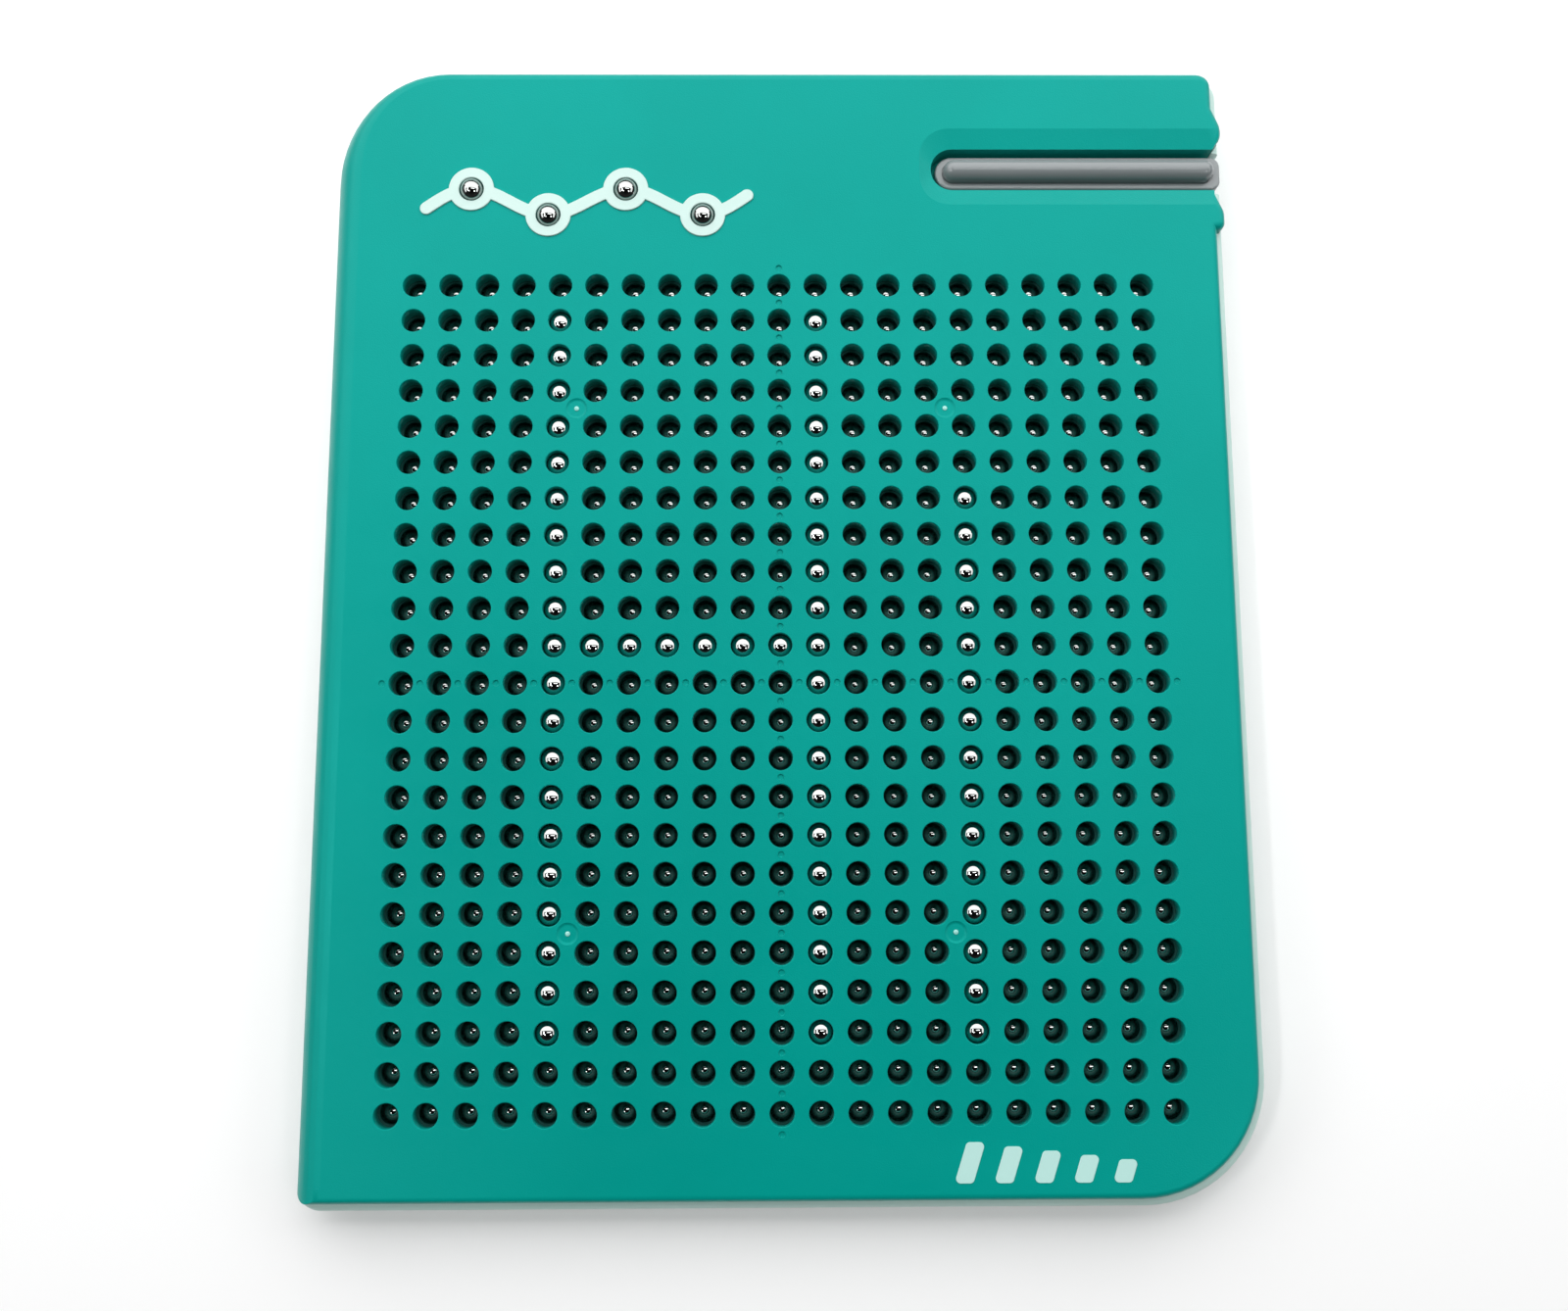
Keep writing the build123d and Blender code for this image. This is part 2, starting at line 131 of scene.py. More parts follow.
def lobe_outlines(grow=0.0):
    """The two lobes beside the bay's mouth."""
    inner, mouth = RIGHT - 25, MOUTH_X - 0.7
    upper = [
        (inner, 123.0, 3), (mouth, 123.0, 3), (RIGHT, 128.8, 4.5), (RIGHT, 131.8, 6.5),
        (FACE_RIGHT - 1.3, 140.0, 3), (inner, 140.0, 3),
    ]
    lower = [
        (inner, 102.5, 3), (RIGHT, 102.5, 2.2), (RIGHT, 107.6, 4.5),
        (mouth, 116.4, 3), (inner, 116.4, 3),
    ]
    return [[(x + nx * grow, y + ny * grow, nx, ny) for x, y, nx, ny in rounded(c)] for c in (upper, lower)]


def bay_outline(left, width, corner, middle, right=RIGHT + PAST_RIGHT):
    """The stylus bay's outline, round at its left end. It runs past the right side by default."""
    half = width / 2
    return box_outline(left, middle - half, right, middle + half, (corner, 0.5, 0.5, corner))


def mouth_outline():
    """The bay's open end, through the right side."""
    half = BAY_WIDTH / 2
    return box_outline(MOUTH_X, STYLUS_Y - half, RIGHT + PAST_RIGHT, STYLUS_Y + half, (0.4,) * 4)


def circle(x, y, radius, segments=HOLE_SEGMENTS):
    turns = [2 * pi * k / segments for k in range(segments)]
    return [(x + radius * cos(a), y + radius * sin(a), cos(a), sin(a)) for a in turns]


# ---------------------------------------------------------------- mesh building

def make_mesh(name, vertices, faces):
    """A mesh object from millimetre vertices."""
    mesh = bpy.data.meshes.new(name)
    mesh.from_pydata([[c * MM for c in v] for v in vertices], [], faces)
    work = bmesh.new()
    work.from_mesh(mesh)
    bmesh.ops.recalc_face_normals(work, faces=work.faces)
    work.to_mesh(mesh)
    work.free()
    made = bpy.data.objects.new(name, mesh)
    bpy.context.scene.collection.objects.link(made)
    return made


def loops_mesh(name, stacks):
    """One mesh of closed solids: each stack is a list of rings with equal counts, bottom first."""
    vertices, faces = [], []
    for rings in stacks:
        first, count = len(vertices), len(rings[0])
        for ring in rings:
            vertices += ring
        for level in range(len(rings) - 1):
            low, high = first + level * count, first + (level + 1) * count
            for k in range(count):
                j = (k + 1) % count
                faces.append((low + k, low + j, high + j, high + k))
        faces.append(tuple(first + k for k in reversed(range(count))))
        top = first + (len(rings) - 1) * count
        faces.append(tuple(top + k for k in range(count)))
    return make_mesh(name, vertices, faces)


def rings_of(outline, profile):
    """Rings of an outline moved inwards and set at heights, for (inset, z) or a function of the normal."""
    rings = []
    for step in profile:
        ring = []
        for x, y, nx, ny in outline:
            inset, z = step(nx, ny) if callable(step) else step
            ring.append((x - nx * inset, y - ny * inset, z))
        rings.append(ring)
    return rings


def round_steps(radius, z, upward=True, segments=ROUND_SEGMENTS):
    """(inset, z) steps of a quarter round that ends at height z; radius may depend on the normal."""
    steps = []
    for k in range(segments + 1):
        angle = pi / 2 * k / segments

        def step(nx, ny, angle=angle):
            size = radius(nx, ny) if callable(radius) else radius
            drop = size * (1 - sin(angle))
            return size * (1 - cos(angle)), z - drop if upward else z + drop

        steps.append(step)
    return steps if upward else steps[::-1]


def prism(name, outline, low, high):
    return loops_mesh(name, [rings_of(outline, [(0, low), (0, high)])])


def prisms(name, outlines, low, high):
    return loops_mesh(name, [rings_of(outline, [(0, low), (0, high)]) for outline in outlines])


def lathed(name, places, profile, segments=HOLE_SEGMENTS):
    """The same turned shape at each place, from (radius, z) bottom first."""
    stacks = []
    for x, y in places:
        unit = circle(x, y, 0, segments)
        stacks.append([[(x + nx * r, y + ny * r, z) for _, _, nx, ny in unit] for r, z in profile])
    return loops_mesh(name, stacks)


def join(target, tool, operation):
    """Adds, cuts or intersects the target with a tool, and removes the tool."""
    change = target.modifiers.new("join", "BOOLEAN")
    change.operation = operation
    change.solver = "MANIFOLD"
    change.object = tool
    evaluated = target.evaluated_get(bpy.context.evaluated_depsgraph_get())
    mesh = bpy.data.meshes.new_from_object(evaluated)
    target.modifiers.clear()
    old = target.data
    target.data = mesh
    bpy.data.meshes.remove(old)
    spent = tool.data
    bpy.data.objects.remove(tool)
    bpy.data.meshes.remove(spent)
    return target


def add(target, tool):
    return join(target, tool, "UNION")


def cut(target, tool):
    return join(target, tool, "DIFFERENCE")


SMOOTH_ANGLE = radians(34)
FLAT_NORMAL = 0.9999


def shade(piece):
    """Smooth shading on round stretches, with flat faces and real edges kept crisp."""
    mesh = piece.data
    work = bmesh.new()
    work.from_mesh(mesh)
    bmesh.ops.remove_doubles(work, verts=work.verts, dist=1e-7)
    bmesh.ops.dissolve_degenerate(work, edges=work.edges, dist=1e-7)
    work.normal_update()
    for face in work.faces:
        face.smooth = True
    for edge in work.edges:
        if len(edge.link_faces) != 2:
            continue
        flats = [abs(face.normal.z) > FLAT_NORMAL for face in edge.link_faces]
        edge.smooth = flats[0] == flats[1] and edge.calc_face_angle(0) < SMOOTH_ANGLE
    work.to_mesh(mesh)
    work.free()
    return piece


def finished(piece, body, slot, material, *nodes):
    """Shades a piece, gives it its material, and ties it to its body and the CAD nodes it stands for."""
    shade(piece)
    piece.data.materials.clear()
    piece.data.materials.append(material)
    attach(piece, body)
    if nodes:
        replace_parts(piece, *nodes)
    return piece


def give_material(node, material):
    """Puts a material on a CAD node that is carried over as it is."""
    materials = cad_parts[node].data.materials
    materials.clear()
    materials.append(material)


# ---------------------------------------------------------------- materials

def new_material(name):
    made = bpy.data.materials.new(name)
    made.use_nodes = True
    return made, made.node_tree, made.node_tree.nodes["Principled BSDF"]


def noise(tree, scale, detail=2.0, roughness=0.5, stretch=(1, 1, 1)):
    """A noise pattern fixed to the object."""
    where = tree.nodes.new("ShaderNodeTexCoord")
    mapping = tree.nodes.new("ShaderNodeMapping")
    mapping.inputs["Scale"].default_value = stretch
    pattern = tree.nodes.new("ShaderNodeTexNoise")
    pattern.inputs["Scale"].default_value = scale
    pattern.inputs["Detail"].default_value = detail
    pattern.inputs["Roughness"].default_value = roughness
    tree.links.new(where.outputs["Object"], mapping.inputs["Vector"])
    tree.links.new(mapping.outputs["Vector"], pattern.inputs["Vector"])
    return pattern.outputs["Fac"]


def remap(tree, value, low, high, from_low=0.3, from_high=0.7):
    """Low at from_low and high at from_high, and held there past them."""
    made = tree.nodes.new("ShaderNodeMapRange")
    made.inputs["From Min"].default_value = from_low
    made.inputs["From Max"].default_value = from_high
    made.inputs["To Min"].default_value = low
    made.inputs["To Max"].default_value = high
    tree.links.new(value, made.inputs["Value"])
    return made.outputs["Result"]


def blend_colours(tree, factor, first, second):
    made = tree.nodes.new("ShaderNodeMix")
    made.data_type = "RGBA"
    made.inputs["A"].default_value = (*first, 1)
    made.inputs["B"].default_value = (*second, 1)
    tree.links.new(factor, made.inputs["Factor"])
    return made.outputs["Result"]


def bump(tree, shader, height, distance, strength=1.0, under=None):
    made = tree.nodes.new("ShaderNodeBump")
    made.inputs["Strength"].default_value = strength
    made.inputs["Distance"].default_value = distance
    tree.links.new(height, made.inputs["Height"])
    if under:
        tree.links.new(under, made.inputs["Normal"])
    tree.links.new(made.outputs["Normal"], shader.inputs["Normal"])
    return made.outputs["Normal"]


def plastic(name, colour, worn, roughness, grain, depth, spread=0.05, shine=0.5, tint=(1, 1, 1)):
    """Moulded plastic with a fine grain, faint clouds in its colour and a gloss that varies."""
    made, tree, shader = new_material(name)
    shader.inputs["Specular IOR Level"].default_value = shine
    shader.inputs["Specular Tint"].default_value = (*tint, 1)
    cloud = remap(tree, noise(tree, 18, 3.0), 0, 1)
    tree.links.new(blend_colours(tree, cloud, colour, worn), shader.inputs["Base Color"])
    smears = noise(tree, 45, 4.0, 0.6, (1, 2.5, 1))
    gloss = remap(tree, smears, roughness - spread, roughness + spread)
    tree.links.new(gloss, shader.inputs["Roughness"])
    swell = bump(tree, shader, noise(tree, 60, 1.0), 0.00006, 0.5)
    bump(tree, shader, noise(tree, grain, 3.0, 0.6), depth, 1.0, swell)
    return made


def metal(name, colour, roughness, scratch_depth):
    made, tree, shader = new_material(name)
    shader.inputs["Metallic"].default_value = 1.0
    shader.inputs["Base Color"].default_value = (*colour, 1)
    haze = noise(tree, 400, 3.0)
    tree.links.new(remap(tree, haze, roughness * 0.7, roughness * 1.5), shader.inputs["Roughness"])
    bump(tree, shader, noise(tree, 1500, 2.0, 0.5, (1, 6, 1)), scratch_depth, 0.6)
    return made


TEAL = plastic(
    "cover_teal", (0.0, 0.262, 0.222), (0.0, 0.282, 0.240), 0.34, 2600, 0.00004,
    shine=0.45, tint=(0.12, 0.9, 0.85),
)
# The gate nubs are coloured far paler than the teal face. This pale colour is a painted glint on each small
# raised nub.
NUB_PAINTED_GLINT = plastic("gate_nub", (0.25, 0.62, 0.56), (0.35, 0.70, 0.64), 0.2, 2600, 0.000006)
MINT = plastic("cover_mint", (0.50, 0.69, 0.645), (0.54, 0.73, 0.68), 0.34, 2000, 0.000008)
INLAY = plastic("inlay_pale", (0.50, 0.68, 0.635), (0.54, 0.72, 0.67), 0.36, 2400, 0.00001)
PRINT = plastic("print_pale", (0.42, 0.70, 0.645), (0.46, 0.73, 0.68), 0.5, 3000, 0.00001)
GREY = plastic(
    "stylus_grey", (0.195, 0.218, 0.224), (0.215, 0.238, 0.244), 0.17, 1500, 0.000004,
    spread=0.03, shine=0.7,
)
GUIDE = plastic("guide_dark", (0.0, 0.230, 0.195), (0.0, 0.250, 0.212), 0.5, 2500, 0.00002)
RUBBER = plastic("retainer_rubber", (0.001, 0.080, 0.068), (0.001, 0.095, 0.080), 0.62, 1800, 0.00003)
FOAM = plastic("liner_foam", (0.010, 0.010, 0.010), (0.02, 0.02, 0.02), 0.8, 1400, 0.0001)
STEEL = metal("bead_steel", (0.42, 0.43, 0.42), 0.07, 0.0000015)
ZINC = metal("zinc_screw", (0.62, 0.62, 0.64), 0.3, 0.00001)
NICKEL = metal("magnet_nickel", (0.70, 0.69, 0.66), 0.16, 0.000004)


# ---------------------------------------------------------------- places

def grid_places(columns=range(1, COLUMNS + 1), rows=range(1, ROWS + 1)):
    middle_column, middle_row = (COLUMNS + 1) / 2, (ROWS + 1) / 2
    return [
        (GRID_X + (column - middle_column) * PITCH, GRID_Y + (middle_row - row) * PITCH)
        for column in columns
        for row in rows
    ]


SCREW_PLACES = [(x, y) for x in (-108, 108) for y in (-112, -19, 84)] + [(-70, 138), (60, 138)]
SEAT_Z = 2.4
BADGE_X, BADGE_Y, BADGE_STEP, BADGE_WAVE, BADGE_END = -82.1, 109.8, 20.5, 3.6, 11.8
BADGE_PLACES = [
    (BADGE_X + n * BADGE_STEP, BADGE_Y + (BADGE_WAVE if n % 2 == 0 else -BADGE_WAVE)) for n in range(4)
]
SOCKET_R, SOCKET_RIM, SOCKET_FLOOR_Z, SOCKET_BOSS_R = 3.25, 0.2, 11.0, 4.8


# ---------------------------------------------------------------- covers

SPINE_ROUND = 7.45
FACE_ROUND, TOP_ROUND, BACK_ROUND, LEDGE_ROUND = 1.75, 2.65, 2.2, 1.5


def spine_cutter(face_side):
    """A bar with a quarter round taken out of it, which rounds the lowest 30 mm of the left side."""
    overlap, segments = 0.03, 24
    radius = THICK / 2 + 1.4 * overlap
    x0 = LEFT + radius - 0.4 * overlap
    z0 = THICK / 2 - overlap if face_side else THICK / 2 + overlap
    sign = 1 if face_side else -1
    arc = []
    for k in range(segments + 1):
        angle = pi / 2 * k / segments
        arc.append((x0 - radius * cos(angle), z0 + sign * radius * sin(angle)))
    profile = [(x0 - 20, z0), *arc, (x0, z0 + sign * 20), (x0 - 20, z0 + sign * 20)]
    ends = [[(x, y, z) for x, z in profile] for y in (BOTTOM + 30, BOTTOM - 10)]
    return loops_mesh("spine", [ends])


def swelling(size, nx, ny):
    """An edge's radius: it grows to a full half round along the left, through the top left corner."""
    left = max(0.0, -nx) ** 2 if ny > -0.001 else 0.0
    return size + (SPINE_ROUND - size) * left


def face_round(nx, ny):
    """The face's edge is softer along the top than on the right and the bottom."""
    return swelling(FACE_ROUND + (TOP_ROUND - FACE_ROUND) * max(0.0, ny) ** 2, nx, ny)


def back_round(nx, ny):
    return swelling(BACK_ROUND, nx, ny)


def cavity_outline():
    """The room inside, clear of the round left side."""
    wall, left_wall = SIDE_WALL, 4.0
    large, small = CORNER_LARGE - wall, CORNER_SMALL - wall
    return box_outline(
        LEFT + left_wall, FACE_BOTTOM + wall, FACE_RIGHT - wall, TOP - wall, (small, large, small, large)
    )


def make_front_cover():
    shell = [(0, PARTING_Z), *round_steps(face_round, THICK, True, EDGE_SEGMENTS)]
    cover = loops_mesh("front_cover_shell", [rings_of(face_outline(), shell)])
    side = [(0, PARTING_Z), *round_steps(FACE_ROUND, THICK)]
    for outline in lobe_outlines():
        add(cover, loops_mesh("lobe", [rings_of(outline, side)]))
    cut(cover, prism("cavity", cavity_outline(), PARTING_Z - 1, SKIN_Z))
    cut(cover, spine_cutter(True))
    tub_width = BAY_WIDTH + 2 * BAY_WALL
    inner = FACE_RIGHT - SIDE_WALL - COVER_GAP
    for low, high, end in ((BAY_UNDER_Z, PARTING_Z + 0.2, inner), (PARTING_Z, SKIN_Z + 0.1, MOUTH_X)):
        tub = bay_outline(BAY_LEFT - BAY_WALL, tub_width, BAY_CORNER + BAY_WALL, STYLUS_Y, end)
        add(cover, prism("tub", tub, low, high))
    add(cover, lathed("bosses", SCREW_PLACES, [(3.4, 4.0), (3.4, SKIN_Z + 0.1)]))
    boss = [(SOCKET_BOSS_R, SOCKET_FLOOR_Z - 1.6), (SOCKET_BOSS_R, SKIN_Z + 0.1)]
    add(cover, lathed("sockets", BADGE_PLACES, boss))
    bay = bay_outline(BAY_LEFT, BAY_WIDTH, BAY_CORNER, STYLUS_Y)
    cut(cover, prism("bay", bay, BAY_FLOOR_Z, THICK + PAST_FACE))
    cut(cover, prism("mouth", mouth_outline(), 0, THICK + PAST_FACE))
    wide = bay_outline(BEVEL_LEFT, BEVEL_WIDTH, BEVEL_CORNER, STYLUS_Y + BEVEL_SHIFT)
    slope = BEVEL_DEPTH / (BEVEL_WIDTH - BAY_WIDTH) * 2
    rings = [
        [(x, y, THICK - BEVEL_DEPTH) for x, y, _, _ in bay],
        [(x, y, THICK) for x, y, _, _ in wide],
        [(x, y, THICK + slope) for x, y, _, _ in wide],
    ]
    cut(cover, loops_mesh("bevel", [rings]))
    cut(cover, lathed("pilots", SCREW_PLACES, [(1.3, 3.0), (1.3, 12.0)]))
    wide_r = SOCKET_R + SOCKET_RIM
    rim = [(SOCKET_R, SOCKET_FLOOR_Z), (SOCKET_R, THICK - SOCKET_RIM), (wide_r, THICK), (wide_r, THICK + 1)]
    cut(cover, lathed("socket_bores", BADGE_PLACES, rim))
    relief = SKIN_Z + HOLE_RELIEF
    profile = [(HOLE_R + HOLE_RELIEF + 0.5, SKIN_Z - 0.5), (HOLE_R, relief)]
    for k in range(4):
        angle = pi / 2 * k / 3
        profile.append((HOLE_R + HOLE_RIM * (1 - cos(angle)), THICK - HOLE_RIM * (1 - sin(angle))))
    profile.append((HOLE_R + HOLE_RIM, THICK + 1))
    cut(cover, lathed("holes", grid_places(), profile))
    half_x, half_y = COLUMNS / 2, ROWS / 2
    dots = [(GRID_X, GRID_Y + (half_y - n) * PITCH) for n in range(ROWS + 1)]
    dots += [(GRID_X + (n - half_x) * PITCH, GRID_Y) for n in range(COLUMNS + 1)]
    dimple = [(0.6, THICK - 0.4), (0.75, THICK - 0.3), (0.85, THICK), (0.9, THICK + 1)]
    cut(cover, lathed("dots", dots, dimple, SMALL_SEGMENTS))
    gates = [(GRID_X + c * PITCH, GRID_Y + r * PITCH) for c in (-5.5, 4.5) for r in (7.5, -6.5)]
    bowl = [(2.1, THICK - 0.3), (2.5, THICK - 0.2), (2.75, THICK), (2.8, THICK + 1)]
    cut(cover, lathed("gates", gates, bowl))
    # The nub domes carry the pale painted-glint colour.
    dome = [(0.62, THICK - 0.35), (0.6, THICK - 0.15), (0.42, THICK - 0.04), (0.15, THICK)]
    finished(lathed("gate_nubs", gates, dome, SMALL_SEGMENTS), "case", "cover_teal", NUB_PAINTED_GLINT, "front_cover")
    return finished(cover, "case", "cover_teal", TEAL, "front_cover")


def case_outline():
    return box_outline(LEFT, BOTTOM, RIGHT, TOP, (6.5, CORNER_LARGE + 1, CORNER_SMALL + 1.5, CORNER_LARGE))


def make_back_cover():
    profile = [*round_steps(back_round, 0, False, EDGE_SEGMENTS), *round_steps(LEDGE_ROUND, LEDGE_Z)]
    cover = loops_mesh("back_cover_shell", [rings_of(case_outline(), profile)])
    for outline in [face_outline(COVER_GAP), *lobe_outlines(COVER_GAP)]:
        cut(cover, prism("front", outline, PARTING_Z, THICK + PAST_FACE))
    cut(cover, prism("cavity", cavity_outline(), BACK_FLOOR, THICK + PAST_FACE))
    cut(cover, spine_cutter(False))
    cut(cover, prism("mouth", mouth_outline(), BAY_UNDER_Z, THICK + PAST_FACE))
    add(cover, lathed("bosses", SCREW_PLACES, [(4.2, BACK_FLOOR - 0.3), (4.2, 4.0)]))
    recess = [(3.3, -1), (3.3, 0), (3.0, 0.3), (3.0, SEAT_Z), (1.5, SEAT_Z), (1.5, 5)]
    cut(cover, lathed("bores", SCREW_PLACES, recess))
    label = box_outline(-38, -107, 38, -73, (5, 5, 5, 5))
    cut(cover, loops_mesh("label", [rings_of(label, [(0, -1), (0, 0), (0.4, 0.5)])]))
    return finished(cover, "case", "cover_mint", MINT, "back_cover")


def make_plate(name, node, radius, slot, material, rim=0.0):
    """A bored plate behind the face."""
    low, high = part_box(node)
    left, bottom, right, top = low.x / MM, low.y / MM, high.x / MM, high.y / MM
    outline = box_outline(left, bottom, right, top, (0.6, 0.6, 0.6, 0.6))
    z0, z1 = low.z / MM, high.z / MM
    plate = prism(name, outline, z0, z1)
    profile = [(radius, z0 - 0.2), (radius, z1 - rim), (radius + rim, z1 + 0.01)]
    if not rim:
        profile = [(radius, z0 - 0.2), (radius, z1 + 0.2)]
    cut(plate, lathed("bores", grid_places(), profile, 28))
    return finished(plate, "case", slot, material, node)


# ---------------------------------------------------------------- balls

def ball_rings(x, y, z, around=32, along=18):
    """A ball as rings with a point-like ring at each pole."""
    rings = []
    for k in range(along + 1):
        angle = -pi / 2 + pi * min(max(k, 0.15), along - 0.15) / along
        rings.append([(x + BALL_R * cos(angle) * nx, y + BALL_R * cos(angle) * ny, z + BALL_R * sin(angle))
                      for _, _, nx, ny in circle(0, 0, 0, around)])
    return rings


STROKES = {
    "beads_raised_left_upright": ([5], range(2, 22)),
    "beads_raised_crossbar": (range(6, 12), [11]),
    "beads_raised_right_upright": ([12], range(2, 22)),
    "beads_raised_short_upright": ([16], range(7, 22)),
}
RAISED = {(c, r) for columns, rows in STROKES.values() for c in columns for r in rows}


def make_balls(name, body, places, height):
    piece = loops_mesh(name, [ball_rings(x, y, height) for x, y in places])
    for face in piece.data.polygons:
        face.use_smooth = True
    piece.data.materials.append(STEEL)
    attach(piece, body)
    return piece


def make_all_balls():
    for node, stroke in STROKES.items():
        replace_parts(make_balls(node + "_fine", node, grid_places(*stroke), RAISED_Z), node)
    for column in range(1, COLUMNS + 1):
        node = f"beads_lowered_column_{column:02d}"
        rows = [row for row in range(1, ROWS + 1) if (column, row) not in RAISED]
        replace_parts(make_balls(node + "_fine", node, grid_places([column], rows), LOWERED_Z), node)
    height = SOCKET_FLOOR_Z + BALL_R
    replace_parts(make_balls("badge_beads_fine", "case", BADGE_PLACES, height), "badge_beads")


# ---------------------------------------------------------------- ornament and print

RIBBON_HALF, RIBBON_EDGE, RING_OUTER, RING_INNER = 1.7, 0.16, 6.0, 3.3


def wave_y(x):
    """The ribbon's middle line: a wave through the four rings, steeper past the first and the last."""
    first, last = BADGE_PLACES[0][0], BADGE_PLACES[-1][0]
    if x < first:
        return BADGE_Y + BADGE_WAVE * (-0.5 + 1.5 * cos(pi * (first - x) / BADGE_END / 2))
    if x > last:
        return BADGE_Y - BADGE_WAVE * (-0.5 + 1.5 * cos(pi * (x - last) / BADGE_END / 2))
    return BADGE_Y + BADGE_WAVE * cos(pi * (x - first) / BADGE_STEP)


def make_badge():
    low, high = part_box("badge_inlay")
    z0, z1 = low.z / MM - 0.1, high.z / MM
    half = RIBBON_HALF
    first, last = BADGE_PLACES[0][0] - BADGE_END, BADGE_PLACES[-1][0] + BADGE_END
    count = 150
    centre = [(first + (last - first) * k / count) for k in range(count + 1)]
    line = []
    for x in centre:
        slope = (wave_y(x + 0.05) - wave_y(x - 0.05)) / 0.1
        length = hypot(1, slope)
        line.append((x, wave_y(x), -slope / length, 1 / length))
    lower = [(x - nx * half, y - ny * half, -nx, -ny) for x, y, nx, ny in line]
    upper = [(x + nx * half, y + ny * half, nx, ny) for x, y, nx, ny in reversed(line)]

    def end_cap(entry, other):
        x, y = (entry[0] + other[0]) / 2, (entry[1] + other[1]) / 2
        start = atan2(entry[3], entry[2])
        turns = [start + pi * k / 12 for k in range(1, 12)]
        return [(x + half * cos(a), y + half * sin(a), cos(a), sin(a)) for a in turns]

    outline = lower + end_cap(lower[-1], upper[0]) + upper + end_cap(upper[-1], lower[0])
    edge = RIBBON_EDGE
    profile = [(0, z0), *round_steps(edge, z1, True, 3)]
    inlay = loops_mesh("badge_ribbon", [rings_of(outline, profile)])
    bend, outer, inner = edge * 0.3, RING_OUTER, RING_INNER
    ring = [(outer, z0), (outer, z1 - edge), (outer - bend, z1 - bend), (outer - edge, z1)]
    for place in BADGE_PLACES:
        add(inlay, lathed("ring", [place], ring, 64))
    hole = [(inner, z0 - 1), (inner, z1 - edge), (inner + bend, z1 - bend)]
    hole += [(inner + edge, z1), (inner + edge, z1 + 1)]
    cut(inlay, lathed("holes", BADGE_PLACES, hole, 48))
    return finished(inlay, "case", "inlay_pale", INLAY, "badge_inlay")


MARK_X, MARK_Y, MARK_STEP, MARK_BARS = 43.4, -141.0, 9.6, 5
MARK_LEAN, MARK_TALL, MARK_WIDTH = 3.2, 9.6, 4.6
MARK_SHRINK, MARK_CORNER = 0.11, 1.1


def make_corner_mark():
    """Five slanted bars, each shorter than the one before."""
    low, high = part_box("corner_mark")
    z0, z1 = low.z / MM - 0.05, high.z / MM
    outlines = []
    for n in range(MARK_BARS):
        height = MARK_TALL * (1 - MARK_SHRINK * n)
        x, shift = MARK_X + n * MARK_STEP, MARK_LEAN * height / MARK_TALL
        left, right, top = x - MARK_WIDTH / 2, x + MARK_WIDTH / 2, MARK_Y + height
        corners = [(left, MARK_Y), (right, MARK_Y), (right + shift, top), (left + shift, top)]
        outlines.append(rounded([(*corner, MARK_CORNER) for corner in corners]))
    stacks = [rings_of(outline, [(0, z0), (0, z1 - 0.05), (0.05, z1)]) for outline in outlines]
    return finished(loops_mesh("corner_bars", stacks), "case", "print_pale", PRINT, "corner_mark")


# ---------------------------------------------------------------- stylus

FLANGE_THICK, LIP_THICK, LIP_REACH = 3.0, 2.3, 9
CAP_GAP, CAP_DEPTH = 0.28, 0.45


def make_stylus():
    """The stylus's flange with its turned-down lip, and the grip bar in a groove on it."""
    low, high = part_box("stylus_base")
    left, right, top = low.x / MM, RIGHT, high.z / MM
    half = (high.y - low.y) / MM / 2
    lip_z = low.z / MM
    plan = box_outline(left, STYLUS_Y - half, right, STYLUS_Y + half, (half - 0.05, 2.6, 2.6, half - 0.05))
    flange = [*round_steps(0.3, top - FLANGE_THICK, False, 4), *round_steps(0.6, top)]
    base = loops_mesh("stylus_base_shell", [rings_of(plan, flange)])
    hang = loops_mesh("lip", [rings_of(plan, [*round_steps(0.8, lip_z, False, 5), (0, top - 1)])])
    below, above = STYLUS_Y - LIP_REACH, STYLUS_Y + LIP_REACH
    keep = box_outline(right - LIP_THICK, below, right + 5, above, (0.3,) * 4)
    join(hang, prism("keep", keep, lip_z - 1, top), "INTERSECT")
    add(base, hang)
    low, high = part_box("stylus_cap")
    left, right = low.x / MM, high.x / MM
    radius = (high.y - low.y) / MM / 2
    z0, z1 = low.z / MM, high.z / MM
    wide = radius + CAP_GAP
    radii = (wide - 0.02,) * 4
    around = box_outline(left - CAP_GAP, STYLUS_Y - wide, right + CAP_GAP, STYLUS_Y + wide, radii)
    cut(base, prism("groove", around, z0 - CAP_DEPTH, z1 + 1))
    finished(base, "stylus", "stylus_grey", GREY, "stylus_base")

    plan = box_outline(left, STYLUS_Y - radius, right, STYLUS_Y + radius, (radius - 0.02,) * 4)
    steps = [(0, z0 - CAP_DEPTH), *round_steps(radius - 0.03, z1, True, 14)]
    cap = loops_mesh("stylus_grip", [rings_of(plan, steps)])
    finished(cap, "stylus", "stylus_grey", GREY, "stylus_cap")


# ---------------------------------------------------------------- screws

SHANK_R, ROOT_R, THREAD_PITCH = 1.25, 1.0, 1.0


